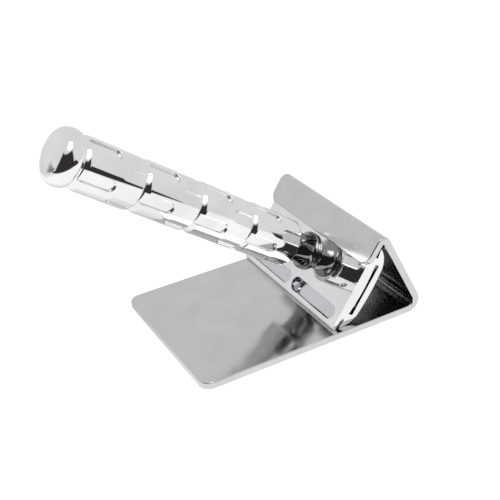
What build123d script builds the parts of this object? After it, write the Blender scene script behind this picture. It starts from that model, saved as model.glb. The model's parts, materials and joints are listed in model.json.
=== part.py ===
"""Double-edge safety razor resting in its own bent-sheet stand.

Millimetres, +Z up. The origin is the centre of the stand's underside. +X runs from the
base's free front edge towards the back bend, so the handle rises towards -X.
"""
import os
from math import cos, radians, sin

from build123d import *

os.makedirs("parts", exist_ok=True)

# ---- driving dimensions: stand -------------------------------------------------------
stand_length = 59.3        # front edge of the base to the outside of the back bend
stand_width = 44.5
sheet = 1.8
wall_angle = 64.5          # back wall, measured up from the base
lip_angle = 53.9           # lip, measured up from the base
ridge_height = 23.1        # outside top of the ridge bend
heel_radius = 3.2          # outside radius of the bend between base and back wall
ridge_radius = 2.1         # outside radius of the bend between back wall and lip
lip_length = 6.05          # straight part of the lip
base_corner_radius = 3.0
lip_corner_radius = 2.8

# ---- driving dimensions: head --------------------------------------------------------
head_length = 43.0
head_offset = 0.9          # head centre towards +Y from the stand's centre plane
lip_gap = 0.1              # clearance between the lip and the base plate
foot_gap = 0.02            # clearance between the base plate's edge and the stand
plate_width = 23.4
bar_thickness = 0.95       # safety bars and outer rim
seat_half = 8.3            # half width of the raised blade seat
seat_crown = 2.85          # depth of the seat's crown behind the plate's face
seat_radius = 48.0         # curve that the plate, the blade and the cap share
slot_length = 19.0
slot_width = 3.7
slot_centre = 8.45         # lather slots, from the plate's centre line
slot_land = 1.2            # land between two slots of a pair
stud_radius = 2.5          # M5, shown plain
stud_hole_clearance = 0.1
stud_reach = 5.8           # length that stands out of the plate's face
pin_radius = 1.5
pin_spacing = 27.0
pin_depth = 1.0            # pins end this deep behind the plate's face
pin_clearance = 0.06
blade_width = 21.8         # across the two edges once it is bent
blade_length = 42.8
blade_edge_length = 37.4
blade_thickness = 0.1
blade_tab_width = 13.0
blade_slot_width = 1.8
face_gap = 0.01            # between faces that the handle clamps together
cap_length = 42.6
cap_half = 10.5
cap_crown = 5.5            # depth of the cap's crown behind the plate's face
cap_shoulder = 6.5         # half width where the crown turns into the shoulder
tab_channel_width = 13.4
tab_channel_floor = 3.75   # depth of the channel that takes the blade's tabs
tab_channel_length = 2.6

# ---- driving dimensions: handle ------------------------------------------------------
flange_radius = 4.9
flange_thickness = 1.0
waist_radius = 3.75
neck_length = 7.3
neck_end_radius = 5.0
neck_bore_depth = 6.2
rod_radius = 3.0
rod_clearance = 0.05
sleeve_count = 4
sleeve_length = 15.25
sleeve_radius = 6.15
groove_radius = 5.5        # bottom of the V between two sleeves
sleeve_chamfer = 0.9
sleeve_rounding = 0.7
grip_slots = 5             # per ring
grip_slot_width = 2.6
grip_slot_floor = 5.55     # distance of a slot's flat floor from the axis
outer_ring_end = 8.4       # outer ring of slots: from the sleeve's outer end
inner_ring_start = 8.9     # inner ring: from here to the sleeve's inner end
outer_ring_angle = -11.0
knob_radius = 6.5
knob_length = 5.9
knob_neck_radius = 5.6
knob_neck_length = 0.5

# ---- stand profile in the XZ plane ---------------------------------------------------
half_width = stand_width / 2
front_x = -stand_length / 2
heel_centre = Vector(stand_length / 2 - heel_radius, heel_radius)
wall_out = Vector(sin(radians(wall_angle)), cos(radians(wall_angle)))
wall_up = Vector(-cos(radians(wall_angle)), sin(radians(wall_angle)))
lip_out = Vector(-sin(radians(lip_angle)), cos(radians(lip_angle)))
lip_down = Vector(-cos(radians(lip_angle)), -sin(radians(lip_angle)))
ridge_z = ridge_height - ridge_radius
wall_run = (ridge_z - heel_centre.Y - (heel_radius - ridge_radius) * wall_out.Y) / wall_up.Y
ridge_centre = heel_centre + wall_out * (heel_radius - ridge_radius) + wall_up * wall_run
lip_start = ridge_centre + lip_out * ridge_radius
lip_end = lip_start + lip_down * lip_length
lip_inner_end = lip_end - lip_out * sheet


def bend(centre, radius, start, finish):
    """Arc of a bend from one outward normal to the next, through the direction between."""
    middle = (start + finish).normalized()
    return ThreePointArc(centre + start * radius, centre + middle * radius, centre + finish * radius)


down = Vector(0, -1)
heel_inner = heel_radius - sheet
ridge_inner = ridge_radius - sheet

with BuildPart() as stand_plate:
    with BuildSketch(Plane.XZ) as stand_profile:
        with BuildLine():
            Line((front_x, 0), (heel_centre.X, 0))
            bend(heel_centre, heel_radius, down, wall_out)
            Line(heel_centre + wall_out * heel_radius, ridge_centre + wall_out * ridge_radius)
            bend(ridge_centre, ridge_radius, wall_out, lip_out)
            Line(lip_start, lip_end)
            Line(lip_end, lip_inner_end)
            Line(lip_inner_end, ridge_centre + lip_out * ridge_inner)
            bend(ridge_centre, ridge_inner, wall_out, lip_out)
            Line(ridge_centre + wall_out * ridge_inner, heel_centre + wall_out * heel_inner)
            bend(heel_centre, heel_inner, down, wall_out)
            Line((heel_centre.X, sheet), (front_x, sheet))
            Line((front_x, sheet), (front_x, 0))
        make_face()
    extrude(amount=half_width, both=True)
    front_corners = stand_plate.edges().filter_by(Axis.Z).group_by(Axis.X)[0]
    fillet(front_corners, base_corner_radius)
    lip_axis = Axis((0, 0, 0), (lip_out.X, 0, lip_out.Y))
    lip_corners = stand_plate.edges().filter_by(lip_axis)
    fillet(lip_corners, lip_corner_radius)
stand_plate.part.label = "stand_plate"

# ---- razor frame: x towards -Y, y up the plate, z out along the handle ---------------
# The base plate's face lies just inside the lip and its round lower edge rests on the stand.
half_plate = plate_width / 2
bar_radius = bar_thickness / 2
bar_centre_y = half_plate - bar_radius
face_point = lip_inner_end - lip_out * (lip_gap + bar_radius)
foot_run = (face_point.Y - sheet - foot_gap - bar_radius) / -lip_down.Y
foot_centre = face_point + lip_down * foot_run
face_centre = foot_centre - lip_down * bar_centre_y + lip_out * bar_radius
razor_origin = (face_centre.X, head_offset, face_centre.Y)
razor = Plane(origin=razor_origin, x_dir=(0, -1, 0), z_dir=(lip_out.X, 0, lip_out.Y))
end_view = Plane(origin=razor_origin, x_dir=razor.y_dir, z_dir=razor.x_dir)
side_view = Plane(origin=razor_origin, x_dir=razor.x_dir, z_dir=-razor.y_dir)
handle_axis = Axis(razor_origin, razor.z_dir)


def curve_depth(crown, y):
    """Depth behind the plate's face of a curve parallel to the blade seat."""
    radius = seat_radius + crown - seat_crown
    return crown - radius + (radius**2 - y**2) ** 0.5


def seat_arc(crown, half):
    """Arc in the end view, concentric with the blade seat."""
    depth = -curve_depth(crown, half)
    return ThreePointArc((-half, depth), (0, -crown), (half, depth))


# ---- base plate ----------------------------------------------------------------------
with BuildPart() as base_plate:
    with BuildSketch(end_view) as plate_profile:
        seat_edge = -curve_depth(seat_crown, seat_half)
        with BuildLine():
            seat_arc(seat_crown, seat_half)
            Line((-bar_centre_y, 0), (bar_centre_y, 0))
            for side in (-1, 1):
                Line((side * seat_half, seat_edge), (side * seat_half, -bar_thickness))
                Line((side * seat_half, -bar_thickness), (side * bar_centre_y, -bar_thickness))
                ThreePointArc(
                    (side * bar_centre_y, -bar_thickness),
                    (side * half_plate, -bar_radius),
                    (side * bar_centre_y, 0),
                )
        make_face()
    extrude(amount=head_length / 2, both=True)
    with BuildSketch(razor.offset(-seat_crown)) as lather_slots:
        slot_step = slot_length + slot_land
        with GridLocations(slot_step, 2 * slot_centre, 2, 2):
            SlotOverall(slot_length, slot_width)
    extrude(amount=seat_crown + 1, mode=Mode.SUBTRACT)
    with BuildSketch(razor.offset(-seat_crown)) as stud_hole:
        Circle(stud_radius + stud_hole_clearance)
    extrude(amount=seat_crown + 1, mode=Mode.SUBTRACT)
    with BuildSketch(razor.offset(-seat_crown - 1)) as pin_sockets:
        with GridLocations(pin_spacing, 0, 2, 1):
            Circle(pin_radius + pin_clearance)
    extrude(amount=seat_crown + 1 - pin_depth + 0.1, mode=Mode.SUBTRACT)
base_plate.part.label = "base_plate"

# ---- blade: bent to the seat's curve -------------------------------------------------
blade_crown = seat_crown + face_gap
cap_inner_crown = blade_crown + blade_thickness + face_gap
with BuildPart() as blade:
    with BuildSketch(end_view) as blade_profile:
        half_blade = blade_width / 2
        with BuildLine():
            inner = seat_arc(blade_crown, half_blade)
            outer = seat_arc(blade_crown + blade_thickness, half_blade)
            Line(inner @ 1, outer @ 1)
            Line(inner @ 0, outer @ 0)
        make_face()
    extrude(amount=blade_length / 2, both=True)
    with BuildSketch(razor.offset(-cap_crown)) as blade_cutouts:
        notch_length = (blade_length - blade_edge_length) / 2
        notch_depth = (blade_width - blade_tab_width) / 2
        with GridLocations(blade_length - notch_length, blade_width - notch_depth, 2, 2):
            Rectangle(notch_length + 0.01, notch_depth + 0.01)
        Circle(stud_radius + 0.5)
        SlotOverall(pin_spacing + 2 * pin_radius + 1.5, blade_slot_width)
        with GridLocations(pin_spacing, 0, 2, 1):
            Circle(pin_radius + 0.1)
    extrude(amount=cap_crown, mode=Mode.SUBTRACT)
blade.part.label = "blade"

# ---- cap -----------------------------------------------------------------------------
with BuildPart() as cap:
    with BuildSketch(end_view) as cap_profile:
        tip_depth = -curve_depth(cap_inner_crown, cap_half)
        shoulder_depth = -(cap_crown - 0.4)
        with BuildLine():
            seat_arc(cap_inner_crown, cap_half)
            for side in (-1, 1):
                Line((side * cap_half, tip_depth), (side * (cap_half + 0.1), tip_depth - 0.25))
                ThreePointArc(
                    (side * (cap_half + 0.1), tip_depth - 0.25),
                    (side * (cap_half - 1.4), tip_depth - 1.95),
                    (side * cap_shoulder, shoulder_depth),
                )
            ThreePointArc((-cap_shoulder, shoulder_depth), (0, -cap_crown), (cap_shoulder, shoulder_depth))
        make_face()
    extrude(amount=cap_length / 2, both=True)
    with BuildSketch(razor.offset(-tab_channel_floor)) as tab_channels:
        with GridLocations(cap_length - tab_channel_length, 0, 2, 1):
            Rectangle(tab_channel_length, tab_channel_width)
    extrude(amount=tab_channel_floor, mode=Mode.SUBTRACT)
    with BuildSketch(razor.offset(-cap_crown + 0.9)) as cap_sockets:
        Circle(stud_radius)
        with GridLocations(pin_spacing, 0, 2, 1):
            Circle(pin_radius)
    extrude(amount=cap_crown, mode=Mode.SUBTRACT)
cap.part.label = "cap"

with BuildPart() as thread_stud:
    with BuildSketch(razor.offset(-cap_crown + 0.9)):
        Circle(stud_radius)
    extrude(amount=cap_crown - 0.9 + stud_reach)
    chamfer(thread_stud.edges().sort_by(handle_axis)[-1], 0.5)
thread_stud.part.label = "thread_stud"

with BuildPart() as alignment_pins:
    with BuildSketch(razor.offset(-cap_crown + 0.9)):
        with GridLocations(pin_spacing, 0, 2, 1):
            Circle(pin_radius)
    extrude(amount=cap_crown - 0.9 - pin_depth)
alignment_pins.part.label = "alignment_pins"

# ---- neck collar and tie rod ---------------------------------------------------------
with BuildPart() as neck_collar:
    with BuildSketch(side_view) as neck_profile:
        bore = stud_radius + rod_clearance
        flange_top = foot_gap + flange_thickness
        with BuildLine():
            Line((bore, foot_gap), (flange_radius, foot_gap))
            Line((flange_radius, foot_gap), (flange_radius, flange_top))
            ThreePointArc(
                (flange_radius, flange_top),
                (waist_radius, flange_top + 2.9),
                (neck_end_radius, neck_length),
            )
            Line((neck_end_radius, neck_length), (0, neck_length))
            Line((0, neck_length), (0, neck_bore_depth))
            Line((0, neck_bore_depth), (bore, neck_bore_depth))
            Line((bore, neck_bore_depth), (bore, foot_gap))
        make_face()
    revolve(axis=handle_axis)
neck_collar.part.label = "neck_collar"

sleeves_end = neck_length + foot_gap + sleeve_count * sleeve_length
rod_end = sleeves_end + 2.5
with BuildPart() as tie_rod:
    with BuildSketch(razor.offset(neck_length)):
        Circle(rod_radius)
    extrude(amount=rod_end - neck_length)
    chamfer(tie_rod.edges().sort_by(handle_axis)[-1], 0.4)
tie_rod.part.label = "tie_rod"

# ---- grip sleeves --------------------------------------------------------------------
sleeve_bore = rod_radius + rod_clearance


def tangent_plane(angle, distance):
    """Plane facing outwards at an angle round the handle, its x along the handle."""
    outward = razor.x_dir * cos(radians(angle)) + razor.y_dir * sin(radians(angle))
    origin = Vector(*razor_origin) + outward * grip_slot_floor + razor.z_dir * distance
    return Plane(origin=origin, x_dir=razor.z_dir, z_dir=outward)


for number in range(1, sleeve_count + 1):
    outer_end = sleeves_end - (number - 1) * sleeve_length
    inner_end = outer_end - sleeve_length
    with BuildPart() as grip_sleeve:
        with BuildSketch(side_view) as sleeve_profile:
            with BuildLine():
                Line((sleeve_bore, outer_end), (groove_radius, outer_end))
                Line((groove_radius, outer_end), (sleeve_radius, outer_end - sleeve_chamfer))
                Line((sleeve_radius, outer_end - sleeve_chamfer), (sleeve_radius, inner_end + 1.0))
                RadiusArc(
                    (sleeve_radius, inner_end + 1.0),
                    (sleeve_radius - sleeve_rounding, inner_end),
                    1.1,
                )
                Line((sleeve_radius - sleeve_rounding, inner_end), (sleeve_bore, inner_end))
                Line((sleeve_bore, inner_end), (sleeve_bore, outer_end))
            make_face()
        revolve(axis=handle_axis)
        half_pitch = 180 / grip_slots
        for step in range(grip_slots):
            angle = outer_ring_angle + 2 * step * half_pitch
            with BuildSketch(tangent_plane(angle, outer_end - outer_ring_end)):
                SlotOverall(2 * (outer_ring_end + 1), grip_slot_width, align=(Align.MIN, Align.CENTER))
            extrude(amount=2, mode=Mode.SUBTRACT)
            with BuildSketch(tangent_plane(angle + half_pitch, outer_end - inner_ring_start)):
                SlotOverall(2 * sleeve_length, grip_slot_width, align=(Align.MAX, Align.CENTER))
            extrude(amount=2, mode=Mode.SUBTRACT)
    grip_sleeve.part.label = f"grip_sleeve_{number}"
    export_step(grip_sleeve.part, f"parts/grip_sleeve_{number}.step")

# ---- end knob ------------------------------------------------------------------------
with BuildPart() as end_knob:
    with BuildSketch(side_view) as knob_profile:
        start = sleeves_end
        rim = start + knob_neck_length
        tip = start + knob_length
        with BuildLine():
            Line((sleeve_bore, start), (knob_neck_radius, start))
            Line((knob_neck_radius, start), (knob_neck_radius, rim))
            Line((knob_neck_radius, rim), (knob_radius, rim + 0.5))
            Line((knob_radius, rim + 0.5), (knob_radius, rim + 1.9))
            ThreePointArc(
                (knob_radius, rim + 1.9),
                (knob_radius - 0.6, rim + 4.0),
                (knob_radius - 2.0, tip - 0.55),
            )
            TangentArc((0, tip), (knob_radius - 2.0, tip - 0.55), tangent=(1, 0))
            Line((0, tip), (0, rod_end + 0.1))
            Line((0, rod_end + 0.1), (sleeve_bore, rod_end + 0.1))
            Line((sleeve_bore, rod_end + 0.1), (sleeve_bore, start))
        make_face()
    revolve(axis=handle_axis)
end_knob.part.label = "end_knob"

pieces = (stand_plate, base_plate, blade, cap, thread_stud, alignment_pins, neck_collar, tie_rod, end_knob)
for piece in pieces:
    export_step(piece.part, f"parts/{piece.part.label}.step")
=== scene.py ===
"""Double-edge safety razor with a slotted round grip, docked in its bent-sheet stand.

The stand and the turned pieces are grids with exact normals. The base plate, the cap and the
blade are their CAD nodes with eased edges. Lengths are in millimetres until they are placed.
"""
import json
from math import atan2, ceil, cos, pi, radians, sin, sqrt, tan

import bmesh
import bpy
import numpy as np
from mathutils import Matrix, Vector


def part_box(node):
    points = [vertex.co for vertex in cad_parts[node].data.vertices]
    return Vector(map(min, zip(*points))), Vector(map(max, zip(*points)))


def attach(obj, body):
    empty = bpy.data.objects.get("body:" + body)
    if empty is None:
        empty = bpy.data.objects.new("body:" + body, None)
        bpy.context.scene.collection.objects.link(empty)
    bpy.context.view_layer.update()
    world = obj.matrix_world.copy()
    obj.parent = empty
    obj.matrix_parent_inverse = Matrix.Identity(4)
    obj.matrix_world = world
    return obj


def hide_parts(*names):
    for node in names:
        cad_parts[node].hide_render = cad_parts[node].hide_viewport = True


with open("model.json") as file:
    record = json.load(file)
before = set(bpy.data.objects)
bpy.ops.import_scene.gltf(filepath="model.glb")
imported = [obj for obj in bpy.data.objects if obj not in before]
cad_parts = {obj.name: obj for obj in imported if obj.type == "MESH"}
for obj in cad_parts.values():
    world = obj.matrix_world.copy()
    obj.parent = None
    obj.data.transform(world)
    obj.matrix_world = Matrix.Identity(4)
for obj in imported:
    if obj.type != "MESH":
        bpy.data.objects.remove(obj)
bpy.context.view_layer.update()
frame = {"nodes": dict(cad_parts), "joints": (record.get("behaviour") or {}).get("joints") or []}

MM = 0.001
turn = next(joint for joint in frame["joints"] if joint["name"] == "handle_turn")

# Razor frame, from where the handle's axis meets the base plate's face: X along the head,
# Y up that face, W out along the handle.
ORIGIN = np.array(turn["pos_m"]) / MM
W = np.array(turn["axis"]) / np.linalg.norm(turn["axis"])
X = np.array([0.0, -1.0, 0.0])
Y = np.cross(W, X)

# ---- dimensions ---------------------------------------------------------------------------
stand_low, stand_high = (np.array(corner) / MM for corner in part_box("stand_plate"))
SHEET = 1.8
WALL_ANGLE = radians(64.5)
LIP_ANGLE = radians(53.9)
HEEL_RADIUS = 3.2
RIDGE_RADIUS = 2.1
LIP_LENGTH = 6.05
BASE_CORNER = 3.0
LIP_CORNER = 2.8
CUT_EDGE = 0.28

FLANGE_RADIUS = 4.9
FLANGE_TOP = 1.02
FOOT_GAP = 0.02                 # under the flange, and between the neck and sleeve 4
NECK_LENGTH = 7.3
NECK_END_RADIUS = 5.0
WAIST_RADIUS = 3.7
STUD_RADIUS = 2.5
THREAD_ROOT = 2.05
THREAD_PITCH = 0.8
SLEEVE_BORE = 3.05
NECK_BORE = 2.55

SLEEVE_LENGTH = 15.25
SLEEVE_RADIUS = 6.15
GROOVE_RADIUS = 5.5
SLOTS = 5                       # in each ring
SLOT_HALF = 1.3                 # half of a slot's width
SLOT_FLOOR = 5.55               # from the handle's axis
SLOT_EDGE = 0.24                # rounding of a slot's top edge, where it is deep enough
SLOT_TOE = 0.18                 # fillet at the foot of its wall
OUTER_RING = 8.4                # the knob side's slots, from that end of the sleeve
INNER_RING = SLEEVE_LENGTH - 8.9
RING_SPLIT = 8.65               # where the two halves of the sleeve's grid meet
OUTER_RING_ANGLE = radians(-11.0)

KNOB_RADIUS = 6.5
KNOB_NECK = 5.6
KNOB_RIM = 0.5
KNOB_TIP = 5.9
KNOB_HOLLOW = 2.6

WELD_STEPS = 2e3                # per millimetre: points that round to the same step become one
FILLET_SHARE = 0.49             # of a run, the most that one fillet takes
TURNED_STEPS = 144              # quads round a turned piece
CORNER_STEPS = 14               # quads round each of the sheet's corners
ARC_STEPS = 18                  # quads along each of its bends


# ---- grids, profiles and pieces --------------------------------------------------------------
class Shell:
    """Grid patches with exact normals, welded into one mesh."""

    def __init__(self):
        self.points, self.normals, self.faces, self.count = [], [], [], 0

    def grid(self, points, normals):
        points, normals = np.asarray(points, float), np.asarray(normals, float)
        rows, columns = points.shape[:2]
        index = self.count + np.arange(rows * columns).reshape(rows, columns)
        self.points.append(points.reshape(-1, 3))
        self.normals.append(normals.reshape(-1, 3))
        self.count += rows * columns
        quads = np.stack([index[:-1, :-1], index[1:, :-1], index[1:, 1:], index[:-1, 1:]], -1)
        self.faces.append(quads.reshape(-1, 4))

    def lines(self, lines):
        """A grid from lines of (point, normal) pairs."""
        lines = np.array(lines, float)
        self.grid(lines[:, :, 0], lines[:, :, 1])

    def lathe(self, rows, offset=0.0):
        """Turns profile rows (radius, along, normal) about the handle's axis."""
        angles = np.linspace(0, 2 * pi, TURNED_STEPS + 1)
        out = np.cos(angles)[:, None] * X + np.sin(angles)[:, None] * Y
        out[-1] = out[0]
        rows = np.asarray(rows)
        along = (rows[:, 1] + offset)[:, None, None]
        points = ORIGIN + rows[:, None, 0:1] * out[None] + along * W
        normals = rows[:, None, 2:3] * out[None] + rows[:, 3][:, None, None] * W
        self.grid(points, normals)

    def mesh(self, name):
        points, normals = np.concatenate(self.points), np.concatenate(self.normals)
        normals /= np.maximum(np.linalg.norm(normals, axis=1, keepdims=True), 1e-12)
        keys = np.round(points * WELD_STEPS).astype(np.int64)
        _, first, welded = np.unique(keys, axis=0, return_index=True, return_inverse=True)
        welded = welded.reshape(-1)
        faces, corner_normals = [], []
        for quad in np.concatenate(self.faces):
            ids = welded[quad]
            keep = [i for i in range(4) if ids[i] != ids[i - 1]]
            if len(keep) < 3 or len(set(ids[keep])) < len(keep):
                continue
            corners = points[quad[keep]]
            facing = sum(np.cross(corners[i] - corners[0], corners[i + 1] - corners[0])
                         for i in range(1, len(keep) - 1))
            if facing @ normals[quad[keep]].sum(axis=0) < 0:
                keep = keep[::-1]
            faces.append([int(i) for i in ids[keep]])
            corner_normals.extend(normals[quad[keep]].tolist())
        mesh = bpy.data.meshes.new(name)
        mesh.from_pydata((points[first] * MM).tolist(), [], faces)
        mesh.polygons.foreach_set("use_smooth", [True] * len(faces))
        mesh.update()
        mesh.normals_split_custom_set(corner_normals)
        return mesh


def row(point, along, side):
    """Profile row: the point, and the normal to the left (-1) or right (1) of its direction."""
    return [*point, side * along[1], -side * along[0]]


def rounded(corners, side=1, step=radians(9)):
    """Rows of a polyline whose corners (a, b, radius) are filleted."""
    rows = []
    for i, (a, b, radius) in enumerate(corners):
        here = np.array([a, b])
        before = None if i == 0 else np.array(corners[i - 1][:2]) - here
        after = None if i == len(corners) - 1 else np.array(corners[i + 1][:2]) - here
        if before is None or after is None:
            along = after if before is None else -before
            rows.append(row(here, along / np.linalg.norm(along), side))
            continue
        u, v = -before / np.linalg.norm(before), after / np.linalg.norm(after)
        bend_angle = atan2(u[0] * v[1] - u[1] * v[0], u @ v)
        if radius <= 0 or abs(bend_angle) < 1e-6:
            rows += [row(here, u, side), row(here, v, side)]
            continue
        half_tangent = tan(abs(bend_angle) / 2)
        room_left = FILLET_SHARE * min(np.linalg.norm(before), np.linalg.norm(after))
        reach = min(radius * half_tangent, room_left)
        start = here - u * reach
        left = np.array([-u[1], u[0]]) * (1 if bend_angle > 0 else -1)
        centre = start + left * reach / half_tangent
        arm = start - centre
        steps = max(2, ceil(abs(bend_angle) / step))
        for k in range(steps + 1):
            angle = bend_angle * k / steps
            spin = np.array([[cos(angle), -sin(angle)], [sin(angle), cos(angle)]])
            rows.append(row(centre + spin @ arm, spin @ u, side))
    return np.array(rows)


def bend(a, b, c, d, steps):
    """Rows along a Bezier curve, with normals to its right."""
    a, b, c, d = (np.array(point, float) for point in (a, b, c, d))
    rows = []
    for t in np.linspace(0, 1, steps + 1):
        point = (1 - t) ** 3 * a + 3 * (1 - t) ** 2 * t * b + 3 * (1 - t) * t**2 * c + t**3 * d
        along = (1 - t) ** 2 * (b - a) + 2 * (1 - t) * t * (c - b) + t**2 * (d - c)
        rows.append(row(point, along / np.linalg.norm(along), 1))
    return np.array(rows)


def quarter(steps):
    """(cosine, sine) over a quarter turn."""
    return [(cos(a), sin(a)) for a in np.linspace(0, pi / 2, steps + 1)]


def add_piece(name, mesh, body, material, node):
    piece = bpy.data.objects.new(name, mesh)
    bpy.context.scene.collection.objects.link(piece)
    mesh.materials.clear()
    mesh.materials.append(material)
    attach(piece, body)
    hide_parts(node)


# ---- materials --------------------------------------------------------------------------
class Graph:
    """Short ways to add nodes to a node tree."""

    def __init__(self, tree):
        self.nodes, self.links = tree.nodes, tree.links

    def add(self, kind, inputs=None, **settings):
        """A new node. Each input is another node's socket or a constant."""
        node = self.nodes.new("ShaderNode" + kind)
        for name, value in settings.items():
            setattr(node, name, value)
        for name, value in (inputs or {}).items():
            if isinstance(value, bpy.types.NodeSocket):
                self.links.new(value, node.inputs[name])
            else:
                node.inputs[name].default_value = value
        return node

    def times(self, first, second):
        return self.add("Math", {0: first, 1: second}, operation="MULTIPLY").outputs[0]

    def measure(self, operation, vector, other=(0, 0, 0)):
        """A vector's length, its distance from another, or its share along it."""
        node = self.add("VectorMath", {0: vector, 1: other}, operation=operation)
        return node.outputs["Value"]

    def share(self, vector, axis):
        return self.measure("DOT_PRODUCT", vector, axis)

    def span(self, value, start, stop, low=0.0, high=1.0, **settings):
        """low at start, high at stop, held beyond both."""
        inputs = {"Value": value, "From Min": start, "From Max": stop,
                  "To Min": low, "To Max": high}
        return self.add("MapRange", inputs, **settings).outputs["Result"]

    def blend(self, factor, first, second):
        """A colour between two."""
        return self.add("Mix", {0: factor, 6: first, 7: second}, data_type="RGBA").outputs[2]

    def noise(self, vector, scale, detail, stretch=None):
        if stretch is not None:
            vector = self.add("Mapping", {"Vector": vector, "Scale": stretch}).outputs["Vector"]
        inputs = {"Vector": vector, "Scale": scale, "Detail": detail}
        return self.add("TexNoise", inputs).outputs["Fac"]

    def tint(self, value, dark, light):
        node = self.add("ValToRGB", {"Fac": value})
        for stop, position, color in zip(node.color_ramp.elements, (0.3, 0.7), (dark, light)):
            stop.position, stop.color = position, (*color, 1)
        return node.outputs["Color"]

    def bump(self, height, distance, base=None):
        inputs = {"Height": height, "Strength": 1.0, "Distance": distance}
        if base is not None:
            inputs["Normal"] = base
        return self.add("Bump", inputs).outputs["Normal"]


def metal(name, dark, light, smooth, rough, grain=(1, 1, 1), ripple=0.0, scratches=0.0):
    """Polished metal: cloudy colour and roughness, hairlines, and a faint ripple in the bump."""
    material = bpy.data.materials.new(name)
    material.use_nodes = True
    graph = Graph(material.node_tree)
    shader = graph.nodes["Principled BSDF"]
    place = graph.add("TexCoord").outputs["Object"]
    shader.inputs["Metallic"].default_value = 1.0
    clouds = graph.noise(place, 140.0, 5.0)
    graph.links.new(graph.tint(clouds, dark, light), shader.inputs["Base Color"])
    hair = graph.noise(place, 900.0, 4.0, grain)
    wear = graph.add("Math", {0: hair, 1: 0.35, 2: clouds}, operation="MULTIPLY_ADD").outputs[0]
    graph.links.new(graph.span(wear, 0.45, 0.9, smooth, rough), shader.inputs["Roughness"])
    normal = None
    if ripple:
        normal = graph.bump(graph.noise(place, 160.0, 1.0), ripple)
    if scratches:
        normal = graph.bump(hair, scratches, normal)
    graph.links.new(normal, shader.inputs["Normal"])
    return material


def paint_slot_wall_shade(material):
    """Paints shade on the long walls of the lather slots: a near-black colour on the walls that
    face one way, standing in for the shade and dark reflection inside the slots.
    """
    graph = Graph(material.node_tree)
    color = graph.nodes["Principled BSDF"].inputs["Base Color"]
    normal = graph.add("NewGeometry").outputs["Normal"]
    place = graph.nodes["Texture Coordinate"].outputs["Object"]
    offset = graph.add("VectorMath", {0: place, 1: ORIGIN * MM}, operation="SUBTRACT").outputs[0]

    # Only below the plate's face, and within its rim and its ends.
    inside = graph.span(graph.share(normal, (Y - X) / sqrt(2)), 0.2, 0.45)
    inside = graph.times(inside, graph.span(graph.share(offset, W), -0.15 * MM, -0.25 * MM))
    for axis, start, stop in ((Y, 10.9, 10.7), (X, 20.0, 19.8)):
        distance = graph.add("Math", {0: graph.share(offset, axis)}, operation="ABSOLUTE")
        inside = graph.times(inside, graph.span(distance.outputs[0], start * MM, stop * MM))
    # Painted shade: the near-black colour is blended over the polished colour where the mask is
    # set.
    polished = color.links[0].from_socket
    graph.links.new(graph.blend(inside, polished, (0.03, 0.03, 0.032, 1)), color)


CHROME_COLORS = (0.80, 0.80, 0.81), (0.90, 0.90, 0.905)
CHROME = metal("handle_chrome", *CHROME_COLORS, 0.02, 0.07, ripple=2e-6)
# Painted shade: a darker copy of the handle's chrome for the neck, standing in for the shade and
# dark reflections on its concave waist.
NECK_SHADED_CHROME = metal("neck_chrome_painted_shade", (0.25, 0.25, 0.255), (0.34, 0.34, 0.345), 0.02, 0.07,
                    ripple=2e-6)
HEAD_CHROME = metal("head_chrome", *CHROME_COLORS, 0.02, 0.08, ripple=1.5e-6)
PLATE_CHROME_SLOT_SHADE = metal("plate_chrome_painted_slot_shade", *CHROME_COLORS, 0.02, 0.08, ripple=1.5e-6)
# The call below paints near-black shade onto the plate's slot walls.
paint_slot_wall_shade(PLATE_CHROME_SLOT_SHADE)
STEEL = metal("stand_steel", (0.60, 0.60, 0.605), (0.66, 0.66, 0.665), 0.10, 0.18,
              grain=(1.0, 0.06, 1.0), ripple=1e-6, scratches=3e-7)
STUD = metal("stud_steel", (0.48, 0.48, 0.49), (0.60, 0.60, 0.61), 0.22, 0.38, scratches=1e-6)
FOIL = metal("blade_steel", (0.60, 0.61, 0.63), (0.70, 0.71, 0.73), 0.06, 0.14,
             grain=(1.0, 0.08, 1.0), scratches=4e-7)


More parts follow.
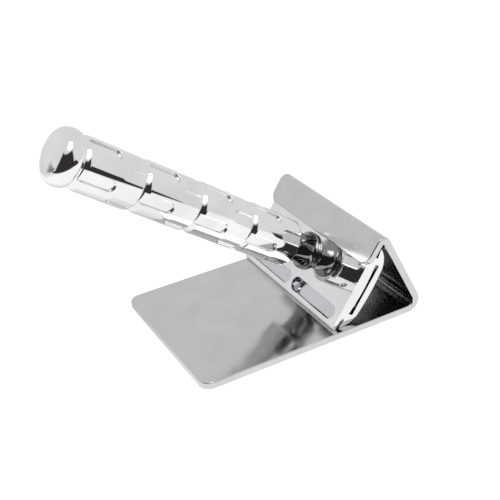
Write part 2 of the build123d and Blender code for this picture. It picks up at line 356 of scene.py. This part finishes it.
# ---- stand --------------------------------------------------------------------------------
class SheetPath:
    """Outer face of the bent sheet in the XZ plane, from the front edge to the lip's end."""

    def __init__(self):
        wall_out = np.array([sin(WALL_ANGLE), cos(WALL_ANGLE)])
        wall_up = np.array([-cos(WALL_ANGLE), sin(WALL_ANGLE)])
        lip_out = np.array([-sin(LIP_ANGLE), cos(LIP_ANGLE)])
        lip_down = np.array([-cos(LIP_ANGLE), -sin(LIP_ANGLE)])
        step_in = wall_out * (HEEL_RADIUS - RIDGE_RADIUS)
        heel = np.array([stand_high[0] - HEEL_RADIUS, HEEL_RADIUS])
        rise = stand_high[2] - RIDGE_RADIUS - heel[1] - step_in[1]
        ridge = heel + step_in + wall_up * rise / wall_up[1]
        base = heel[0] - stand_low[0]
        wall_start = heel + wall_out * HEEL_RADIUS
        wall = np.linalg.norm(ridge + wall_out * RIDGE_RADIUS - wall_start)
        wall_facing, lip_facing = atan2(wall_out[1], wall_out[0]), atan2(lip_out[1], lip_out[0])
        # Lines: length, start, direction. Arcs: length, centre, radius, first angle.
        self.runs = [
            (base, np.array([stand_low[0], 0.0]), np.array([1.0, 0.0])),
            ((wall_facing + pi / 2) * HEEL_RADIUS, heel, HEEL_RADIUS, -pi / 2),
            (wall, wall_start, wall_up),
            ((lip_facing - wall_facing) * RIDGE_RADIUS, ridge, RIDGE_RADIUS, wall_facing),
            (LIP_LENGTH, ridge + lip_out * RIDGE_RADIUS, lip_down),
        ]
        self.length = sum(run[0] for run in self.runs)

    def at(self, u):
        """(outer point, direction, inward normal) at u along the outer face."""
        for i, run in enumerate(self.runs):
            if u <= run[0] or i == len(self.runs) - 1:
                break
            u -= run[0]
        if len(run) == 3:
            _, start, along = run
            return start + along * u, along, np.array([-along[1], along[0]])
        _, centre, radius, first_angle = run
        angle = first_angle + u / radius
        outward = np.array([cos(angle), sin(angle)])
        return centre + outward * radius, np.array([-outward[1], outward[0]]), -outward

    def stations(self):
        """Distances along the sheet, close together round the bends."""
        marks, here = [], 0.0
        for run in self.runs:
            count = max(2, ceil(run[0] / 3.0)) if len(run) == 3 else ARC_STEPS
            marks.append(here + np.linspace(0, run[0], count + 1))
            here += run[0]
        return np.unique(np.round(np.concatenate(marks), 6))


def sheet_outline(path):
    """Half the flat sheet's outline as (u, v, normal): the front edge, a side, the lip's end."""
    half, end = (stand_high[1] - stand_low[1]) / 2, path.length
    front = [(0, v, -1, 0) for v in np.linspace(0, half - BASE_CORNER, 6)[:-1]]
    front += [(BASE_CORNER * (1 - c), half - BASE_CORNER * (1 - s), -c, s)
              for c, s in quarter(CORNER_STEPS)]
    side = [(u, half, 0, 1) for u in path.stations()
            if BASE_CORNER + 0.3 < u < end - LIP_CORNER - 0.3]
    lip = [(end - LIP_CORNER * (1 - c), half - LIP_CORNER * (1 - s), c, s)
           for c, s in quarter(CORNER_STEPS)[::-1]]
    lip += [(end, v, 1, 0) for v in np.linspace(half - LIP_CORNER, 0, 6)[1:]]
    return np.array(front + side + lip)


def stand_mesh():
    path = SheetPath()

    def place(u, v, height, n_u, n_v, n_height):
        outer, along, inward = path.at(u)
        spot, normal = outer + inward * height, along * n_u + inward * n_height
        return (spot[0], v, spot[1]), (normal[0], n_v, normal[1])

    side = sheet_outline(path)
    outline = np.concatenate([side, side[::-1][1:] * np.array([1, -1, 1, -1])])
    # The cut edge, eased on both faces: (inset, height, outward share, upward share).
    edge = [(CUT_EDGE * (1 - s), SHEET - CUT_EDGE * (1 - c), s, c) for c, s in quarter(5)]
    edge += [(CUT_EDGE * (1 - c), CUT_EDGE * (1 - s), c, -s) for c, s in quarter(5)]
    shell = Shell()
    shell.lines([[place(u - n_u * inset, v - n_v * inset, height, n_u * out, n_v * out, up)
                  for u, v, n_u, n_v in outline] for inset, height, out, up in edge])
    columns = np.linspace(-1, 1, 13)
    for height, up in ((SHEET, 1), (0.0, -1)):
        shell.lines([[place(u - n_u * CUT_EDGE, (v - n_v * CUT_EDGE) * column, height, 0, 0, up)
                      for column in columns] for u, v, n_u, n_v in side[4:-5]])
    return shell.mesh("stand_sheet")


# ---- turned pieces of the handle ------------------------------------------------------------
def neck_mesh():
    flare = (FLANGE_RADIUS - 0.2, FLANGE_TOP - 0.35)
    waist = (WAIST_RADIUS, FLANGE_TOP + 4.2)
    end = (NECK_END_RADIUS, NECK_LENGTH)
    hollow = NECK_LENGTH - 1.1
    parts = [
        rounded([(NECK_BORE, FOOT_GAP, 0), (FLANGE_RADIUS, FOOT_GAP, 0.12),
                 (FLANGE_RADIUS, FLANGE_TOP - 0.45, 0.12), (*flare, 0)]),
        bend(flare, (4.15, FLANGE_TOP), (WAIST_RADIUS, FLANGE_TOP + 1.6), waist, 26),
        bend(waist, (WAIST_RADIUS, FLANGE_TOP + 5.2), (4.1, NECK_LENGTH - 0.3), end, 14),
        rounded([(*end, 0), (0, NECK_LENGTH, 0)]),
        rounded([(0, hollow, 0), (NECK_BORE, hollow, 0), (NECK_BORE, FOOT_GAP, 0)]),
    ]
    shell = Shell()
    for rows in parts:
        shell.lathe(rows)
    return shell.mesh("neck_turned")


def knob_mesh(start):
    heel = (KNOB_NECK + 0.25, KNOB_RIM + 0.02)
    side = (KNOB_RADIUS, KNOB_RIM + 1.9)
    dome = (KNOB_RADIUS - 2.0, KNOB_TIP - 0.55)
    parts = [
        rounded([(SLEEVE_BORE, 0, 0), (KNOB_NECK, 0, 0), (KNOB_NECK, KNOB_RIM, 0.12), (*heel, 0)],
                step=radians(5)),
        bend(heel, (KNOB_RADIUS - 0.2, KNOB_RIM + 0.1), (KNOB_RADIUS, KNOB_RIM + 0.9), side, 26),
        bend(side, (KNOB_RADIUS, KNOB_RIM + 3.25), (KNOB_RADIUS - 0.6, KNOB_TIP - 0.9), dome, 26),
        bend(dome, (KNOB_RADIUS - 3.5, KNOB_TIP - 0.18), (1.5, KNOB_TIP), (0, KNOB_TIP), 20),
        rounded([(0, KNOB_HOLLOW, 0), (SLEEVE_BORE, KNOB_HOLLOW, 0), (SLEEVE_BORE, 0, 0)], side=-1),
    ]
    shell = Shell()
    for rows in parts:
        shell.lathe(rows, start)
    return shell.mesh("knob_turned")


# ---- grip sleeves ---------------------------------------------------------------------------
class HalfSleeve:
    """Half of a sleeve with one ring of slots, open at the sleeve's end and round at their own.

    rows is the profile (distance from the sleeve's end, radius, normal); towards is the sign of
    that distance along the handle; split is where the sleeve's halves meet.
    """

    def __init__(self, shell, rows, end_at, towards, slot_end, split, first_angle):
        self.shell, self.rows, self.end_at, self.towards = shell, rows, end_at, towards
        self.centre = slot_end - SLOT_HALF
        targets = self.targets(split)
        for step in range(SLOTS):
            angle = first_angle + 2 * pi / SLOTS * step
            self.out = cos(angle) * X + sin(angle) * Y
            self.tangent = -sin(angle) * X + cos(angle) * Y
            fields, walls = zip(*(self.field_and_wall(*target) for target in targets))
            floor = self.floor([wall[-1][0] for wall in walls])
            shell.lines(fields)
            shell.lines(walls)
            shell.lines(floor)
            self.end_face(fields, walls, floor)

    def targets(self, split):
        """(x, distance, level) round a slot's cell: up one side, across the split, down the other.

        level is where the target looks straight across to the slot; None looks to its round end.
        """
        reach = SLEEVE_RADIUS * pi / SLOTS
        levels = [d for d in self.rows[:, 0] if d < self.centre - 0.2]
        last = max(levels)
        steps = max(3, ceil((self.centre - last) / 0.9))
        levels += list(np.linspace(last, self.centre, steps + 1)[1:])
        side = [(-reach, d, d) for d in levels]
        side += [(-reach, d, None) for d in np.linspace(self.centre, split, 5)[1:-1]]
        across = [(reach * t, split, None) for t in np.linspace(-1, 1, 25)]
        return side + across + [(-x, d, level) for x, d, level in side[::-1]]

    def profile(self, distance):
        """Radius and normal of the profile at a distance from the sleeve's end."""
        rows = self.rows
        i = int(np.clip(np.searchsorted(rows[:, 0], distance, side="right") - 1, 0, len(rows) - 2))
        a, b = rows[i], rows[i + 1]
        length = b[0] - a[0]
        t = 0.0 if length < 1e-9 else min(max((distance - a[0]) / length, 0), 1)
        return a[1] + (b[1] - a[1]) * t, a[2:] + (b[2:] - a[2:]) * t

    def spot(self, x, height, distance):
        along = self.end_at + self.towards * distance
        return ORIGIN + self.out * height + self.tangent * x + W * along

    def on_body(self, x, distance):
        """Point and normal on the turned surface, and its height above the axis."""
        radius, (n_along, n_out) = self.profile(distance)
        height = sqrt(max(radius**2 - x**2, 0))
        radial = (self.out * height + self.tangent * x) / radius
        normal = radial * n_out + W * self.towards * n_along
        return self.spot(x, height, distance), normal, height

    def field_and_wall(self, x, distance, level):
        """Lines of (point, normal) from the slot's edge out to the target, and down its wall."""
        if level is not None:
            base, direction = np.array([0.0, level]), np.array([np.sign(x), 0.0])
        else:
            base = np.array([0.0, self.centre])
            aim = np.array([SLEEVE_RADIUS * sin(x / SLEEVE_RADIUS), distance - self.centre])
            direction = aim / np.linalg.norm(aim)
        outline = base + direction * SLOT_HALF
        depth = self.on_body(*outline)[2] - SLOT_FLOOR
        share = min(1.0, depth / (SLOT_EDGE + SLOT_TOE)) if depth > 1e-6 else 0.0
        edge, toe = SLOT_EDGE * share, SLOT_TOE * share
        start = base + direction * (SLOT_HALF + edge)
        first = np.arcsin(np.clip(start[0] / self.profile(start[1])[0], -1, 1))
        last = x / SLEEVE_RADIUS
        field = []
        for t in np.linspace(0, 1, 7):
            d = start[1] + (distance - start[1]) * t
            x_here = self.profile(d)[0] * sin(first + (last - first) * t)
            field.append(self.on_body(x_here, d)[:2])

        top, top_normal, _ = self.on_body(*start)
        wall = [(top, top_normal)]
        if share == 0.0:
            return field, wall + [self.on_body(*outline)[:2]] * 8
        inward = -(self.tangent * direction[0] + W * self.towards * direction[1])
        turns = [(cos(radians(angle)), sin(radians(angle))) for angle in (30, 60, 90)]
        for c, s in turns:
            px, d = base + direction * (SLOT_HALF + edge * (1 - s))
            height = self.on_body(px, d)[2] - edge * (1 - c)
            wall.append((self.spot(px, height, d), top_normal * c + inward * s))
        wall.append((self.spot(outline[0], SLOT_FLOOR + toe, outline[1]), inward))
        for c, s in turns:
            px, d = base + direction * (SLOT_HALF - toe * (1 - c))
            wall.append((self.spot(px, SLOT_FLOOR + toe * (1 - s), d), inward * c + self.out * s))
        wall.append((wall[-1][0], self.out))
        return field, wall

    def floor(self, foot):
        """Lines across the slot between opposite points of its foot, from its open end inwards."""
        lines = []
        for a, b in list(zip(foot, foot[::-1]))[:(len(foot) + 1) // 2]:
            line = []
            for t in np.linspace(0, 1, 9):
                offset = a + (b - a) * t - ORIGIN
                x, d = offset @ self.tangent, (offset @ W - self.end_at) * self.towards
                point, normal, height = self.on_body(x, d)
                if height > SLOT_FLOOR + 1e-6:
                    point, normal = self.spot(x, SLOT_FLOOR, d), self.out
                line.append((point, normal))
            lines.append(line)
        return lines

    def end_face(self, fields, walls, floor):
        """From the cell's rim at the sleeve's end in to the bore."""
        rim = [*fields[0][::-1], *walls[0][1:], *floor[0][1:-1], *walls[-1][::-1][:-1], *fields[-1]]
        outer, inner = [point for point, _ in rim], []
        for point in outer:
            along = ((point - ORIGIN) @ W) * W
            radial = point - ORIGIN - along
            inner.append(ORIGIN + radial / np.linalg.norm(radial) * SLEEVE_BORE + along)
        normals = [-self.towards * W] * len(rim)
        self.shell.grid([outer, inner], [normals, normals])


def sleeve_mesh(number):
    """Sleeve 1 is next to the knob, sleeve 4 next to the neck."""
    outer_end = NECK_LENGTH + FOOT_GAP + (5 - number) * SLEEVE_LENGTH
    inner_end = outer_end - SLEEVE_LENGTH
    inner_split = SLEEVE_LENGTH - RING_SPLIT
    # Distance from the end, radius: a soft shoulder above the V groove, and a tighter one inside.
    outer_rows = rounded([(0.0, GROOVE_RADIUS - 0.3, 0), (0.0, GROOVE_RADIUS, 0.05),
                          (0.95, SLEEVE_RADIUS, 1.6), (RING_SPLIT, SLEEVE_RADIUS, 0)],
                         side=-1, step=radians(5))
    inner_rows = rounded([(0.0, GROOVE_RADIUS - 0.3, 0), (0.0, SLEEVE_RADIUS - 0.7, 0.05),
                          (0.55, SLEEVE_RADIUS, 0.5), (inner_split, SLEEVE_RADIUS, 0)],
                         side=-1, step=radians(6))
    shell = Shell()
    HalfSleeve(shell, outer_rows[1:], outer_end, -1, OUTER_RING, RING_SPLIT, OUTER_RING_ANGLE)
    HalfSleeve(shell, inner_rows[1:], inner_end, 1, INNER_RING, inner_split,
               OUTER_RING_ANGLE + pi / SLOTS)
    shell.lathe([[SLEEVE_BORE, end, -1, 0] for end in (inner_end, outer_end)])
    return shell.mesh(f"grip_{number}")


# ---- the head's pieces and the stud ------------------------------------------------------------
def eased(node, name, width, segments=2):
    """A CAD node's shape with its sharp edges rounded."""
    mesh = frame["nodes"][node].data.copy()
    builder = bmesh.new()
    builder.from_mesh(mesh)
    bmesh.ops.remove_doubles(builder, verts=builder.verts, dist=1e-7)
    bmesh.ops.dissolve_limit(builder, angle_limit=radians(0.4), verts=builder.verts,
                             edges=builder.edges)
    for face in builder.faces:
        face.smooth = True
    builder.to_mesh(mesh)
    builder.free()
    piece = bpy.data.objects.new(name, mesh)
    bpy.context.scene.collection.objects.link(piece)
    bevel = piece.modifiers.new("eased edges", "BEVEL")
    bevel.width = width * MM
    bevel.segments = segments
    bevel.limit_method = "ANGLE"
    bevel.angle_limit = radians(35)
    bevel.use_clamp_overlap = True
    weigh = piece.modifiers.new("flat faces stay flat", "WEIGHTED_NORMAL")
    weigh.keep_sharp = False
    weigh.weight = 100
    graph = bpy.context.evaluated_depsgraph_get()
    final = bpy.data.meshes.new_from_object(piece.evaluated_get(graph))
    bpy.data.objects.remove(piece)
    final.name = name
    return final


def stud_mesh():
    """Threaded stud: a helical ridge on a core, fading out at its free end."""
    low, high, fade_length, end_taper = -4.55, 5.75, 0.5, 0.25
    crest_height = STUD_RADIUS - 0.02 - THREAD_ROOT
    turns = np.linspace(0, 2 * pi, 65)
    points = []
    for along in np.linspace(low, high, 208):
        fade = min(max((high - along) / fade_length, 0.0), 1.0)
        line = []
        for angle in turns:
            phase = (along / THREAD_PITCH - angle / (2 * pi)) % 1.0
            crest = min(max(1.6 - abs(phase - 0.5) * 4.2, 0.0), 1.0)
            radius = THREAD_ROOT + crest_height * crest * fade - end_taper * (1 - fade)
            line.append(ORIGIN + radius * (cos(angle) * X + sin(angle) * Y) + along * W)
        line[-1] = line[0]
        points.append(line)
    points = np.array(points)
    around = np.roll(points[:, :-1], -1, axis=1) - np.roll(points[:, :-1], 1, axis=1)
    around = np.concatenate([around, around[:, :1]], axis=1)
    normals = np.cross(around, np.gradient(points, axis=0))
    radial = points - (ORIGIN + ((points - ORIGIN) @ W)[..., None] * W)
    shell = Shell()
    shell.grid(points, normals * np.sign((normals * radial).sum(-1, keepdims=True)))
    for rim, sign in ((points[0], -1), (points[-1], 1)):
        middle = np.repeat(((rim[0] + rim[len(turns) // 2]) / 2)[None], len(turns), axis=0)
        shell.grid([rim, middle], np.full((2, len(turns), 3), sign * W))
    return shell.mesh("stud_thread")


# ---- assembly -------------------------------------------------------------------------------
add_piece("stand_sheet", stand_mesh(), "stand", STEEL, "stand_plate")
add_piece("comb_plate", eased("base_plate", "comb_plate", 0.09), "head",
          PLATE_CHROME_SLOT_SHADE, "base_plate")
add_piece("cap_shell", eased("cap", "cap_shell", 0.12), "head", HEAD_CHROME, "cap")
add_piece("blade_foil", eased("blade", "blade_foil", 0.02, 1), "head", FOIL, "blade")
add_piece("stud_thread", stud_mesh(), "head", STUD, "thread_stud")
# The neck gets the darker chrome with painted shade.
add_piece("neck_turned", neck_mesh(), "neck", NECK_SHADED_CHROME, "neck_collar")
for number in range(1, 5):
    add_piece(f"grip_{number}", sleeve_mesh(number), "handle", CHROME,
              f"grip_sleeve_{number}")
add_piece("knob_turned", knob_mesh(NECK_LENGTH + FOOT_GAP + 4 * SLEEVE_LENGTH), "handle",
          CHROME, "end_knob")
for node in ("tie_rod", "alignment_pins"):
    mesh = frame["nodes"][node].data
    mesh.materials.clear()
    mesh.materials.append(STUD)


# ---- studio -----------------------------------------------------------------------------------
BACKDROP = (1.1, 1.1, 1.1, 1)       # what the camera sees behind the part
PALE = (0.78, 0.78, 0.785, 1)
GREY = (0.24, 0.24, 0.245, 1)
DARK = (0.035, 0.031, 0.030, 1)
SOFTBOX = (2.0, 2.0, 2.0, 1)


def room():
    """A pale room: dark in front, grey low down at the back left, a softbox nearly overhead."""
    world = bpy.data.worlds.new("studio")
    bpy.context.scene.world = world
    world.use_nodes = True
    graph = Graph(world.node_tree)
    graph.nodes.clear()
    place = graph.add("TexCoord").outputs["Generated"]

    def falloff(direction, start, stop):
        """0 where the view direction's share along direction is start, 1 at stop."""
        share = graph.share(place, Vector(direction).normalized())
        return graph.span(share, start, stop, interpolation_type="SMOOTHSTEP")

    front = graph.times(falloff((-0.951, -0.309, 0), -0.06, 0.06),
                        falloff((-0.05, -1.0, 0), -0.10, 0.10))
    front = graph.times(front, falloff((0, 0, -1), -0.76, -0.66))
    horizon = graph.times(falloff((-0.85, 0.53, 0), 0.93, 0.975),
                          falloff((0, 0, -1), -0.20, -0.13))
    softbox = falloff((-0.02, -0.36, 0.93), cos(radians(20)), cos(radians(15)))
    sky = PALE
    for mask, color in ((front, DARK), (horizon, GREY), (softbox, SOFTBOX)):
        sky = graph.blend(mask, sky, color)
    lit = graph.add("Background", {"Color": sky}).outputs[0]
    seen = graph.add("Background", {"Color": BACKDROP}).outputs[0]
    camera_ray = graph.add("LightPath").outputs["Is Camera Ray"]
    mix = graph.add("MixShader", {0: camera_ray, 1: lit, 2: seen})
    graph.add("OutputWorld", {"Surface": mix.outputs[0]})


def table():
    """Glowing paper with a painted pool of light that dims far away, a painted shadow just behind
    the part, and a dark end in front.
    """
    half, below_part = 3.0, 0.00002
    mesh = bpy.data.meshes.new("floor")
    corners = [(-half, -half, 0), (half, -half, 0), (half, half, 0), (-half, half, 0)]
    mesh.from_pydata(corners, [], [(0, 1, 2, 3)])
    floor = bpy.data.objects.new("floor", mesh)
    bpy.context.scene.collection.objects.link(floor)
    floor.location.z = -below_part
    paper = bpy.data.materials.new("paper")
    paper.use_nodes = True
    graph = Graph(paper.node_tree)
    graph.nodes.remove(graph.nodes["Principled BSDF"])
    place = graph.add("TexCoord").outputs["Object"]

    # Painted light: the paper's glow fades with distance from the part.
    away = graph.span(graph.measure("LENGTH", place), 0.13, 0.35, 1.05, 0.76)
    # Painted shadow: a dim patch just behind the part, where the stand and handle would cast shade.
    behind = graph.span(graph.measure("DISTANCE", place, (0.0, 0.065, 0)), 0.035, 0.085, 0.5, 1.0)
    strength = graph.times(away, behind)
    # The paper ends in front, along a line that runs back towards the right.
    ended = graph.times(graph.span(graph.share(place, (-0.4, -1, 0)), 0.125, 0.15),
                        graph.span(graph.share(place, (-1, -0.55, 0)), -0.005, 0.012))
    lit = graph.add("Emission", {"Strength": strength}).outputs[0]
    dark = graph.add("Emission", {"Color": DARK}).outputs[0]
    seen = graph.add("Emission", {"Color": BACKDROP}).outputs[0]
    shown = graph.add("MixShader", {0: ended, 1: lit, 2: dark}).outputs[0]
    camera_ray = graph.add("LightPath").outputs["Is Camera Ray"]
    mix = graph.add("MixShader", {0: camera_ray, 1: shown, 2: seen}).outputs[0]
    graph.links.new(mix, graph.nodes["Material Output"].inputs["Surface"])
    mesh.materials.append(paper)


def key_light():
    key = bpy.data.lights.new("key", "AREA")
    key.energy = 0.3
    key.size = 0.25
    lamp = bpy.data.objects.new("key", key)
    lamp.location = (-0.01, -0.21, 0.56)
    lamp.rotation_euler = (-lamp.location).to_track_quat("-Z", "Y").to_euler()
    bpy.context.scene.collection.objects.link(lamp)


def camera():
    position = Vector((-0.0910988, -0.1752535, 0.127734))
    azimuth, elevation, roll = radians(-26.3504), radians(29.3489), radians(-4.8937)
    back = Vector((sin(azimuth) * cos(elevation), -cos(azimuth) * cos(elevation), sin(elevation)))
    right = Vector((cos(azimuth), sin(azimuth), 0))
    up = back.cross(right)
    right, up = right * cos(roll) + up * sin(roll), up * cos(roll) - right * sin(roll)
    data = bpy.data.cameras.new("camera")
    data.sensor_width = 36
    data.lens = 66.76
    data.clip_start, data.clip_end = 0.01, 20
    view = bpy.data.objects.new("camera", data)
    pose = Matrix((right, up, back)).transposed().to_4x4()
    pose.translation = position
    view.matrix_world = pose
    bpy.context.scene.collection.objects.link(view)
    bpy.context.scene.camera = view


room()
table()
key_light()
bpy.context.scene.view_settings.view_transform = "Standard"
camera()
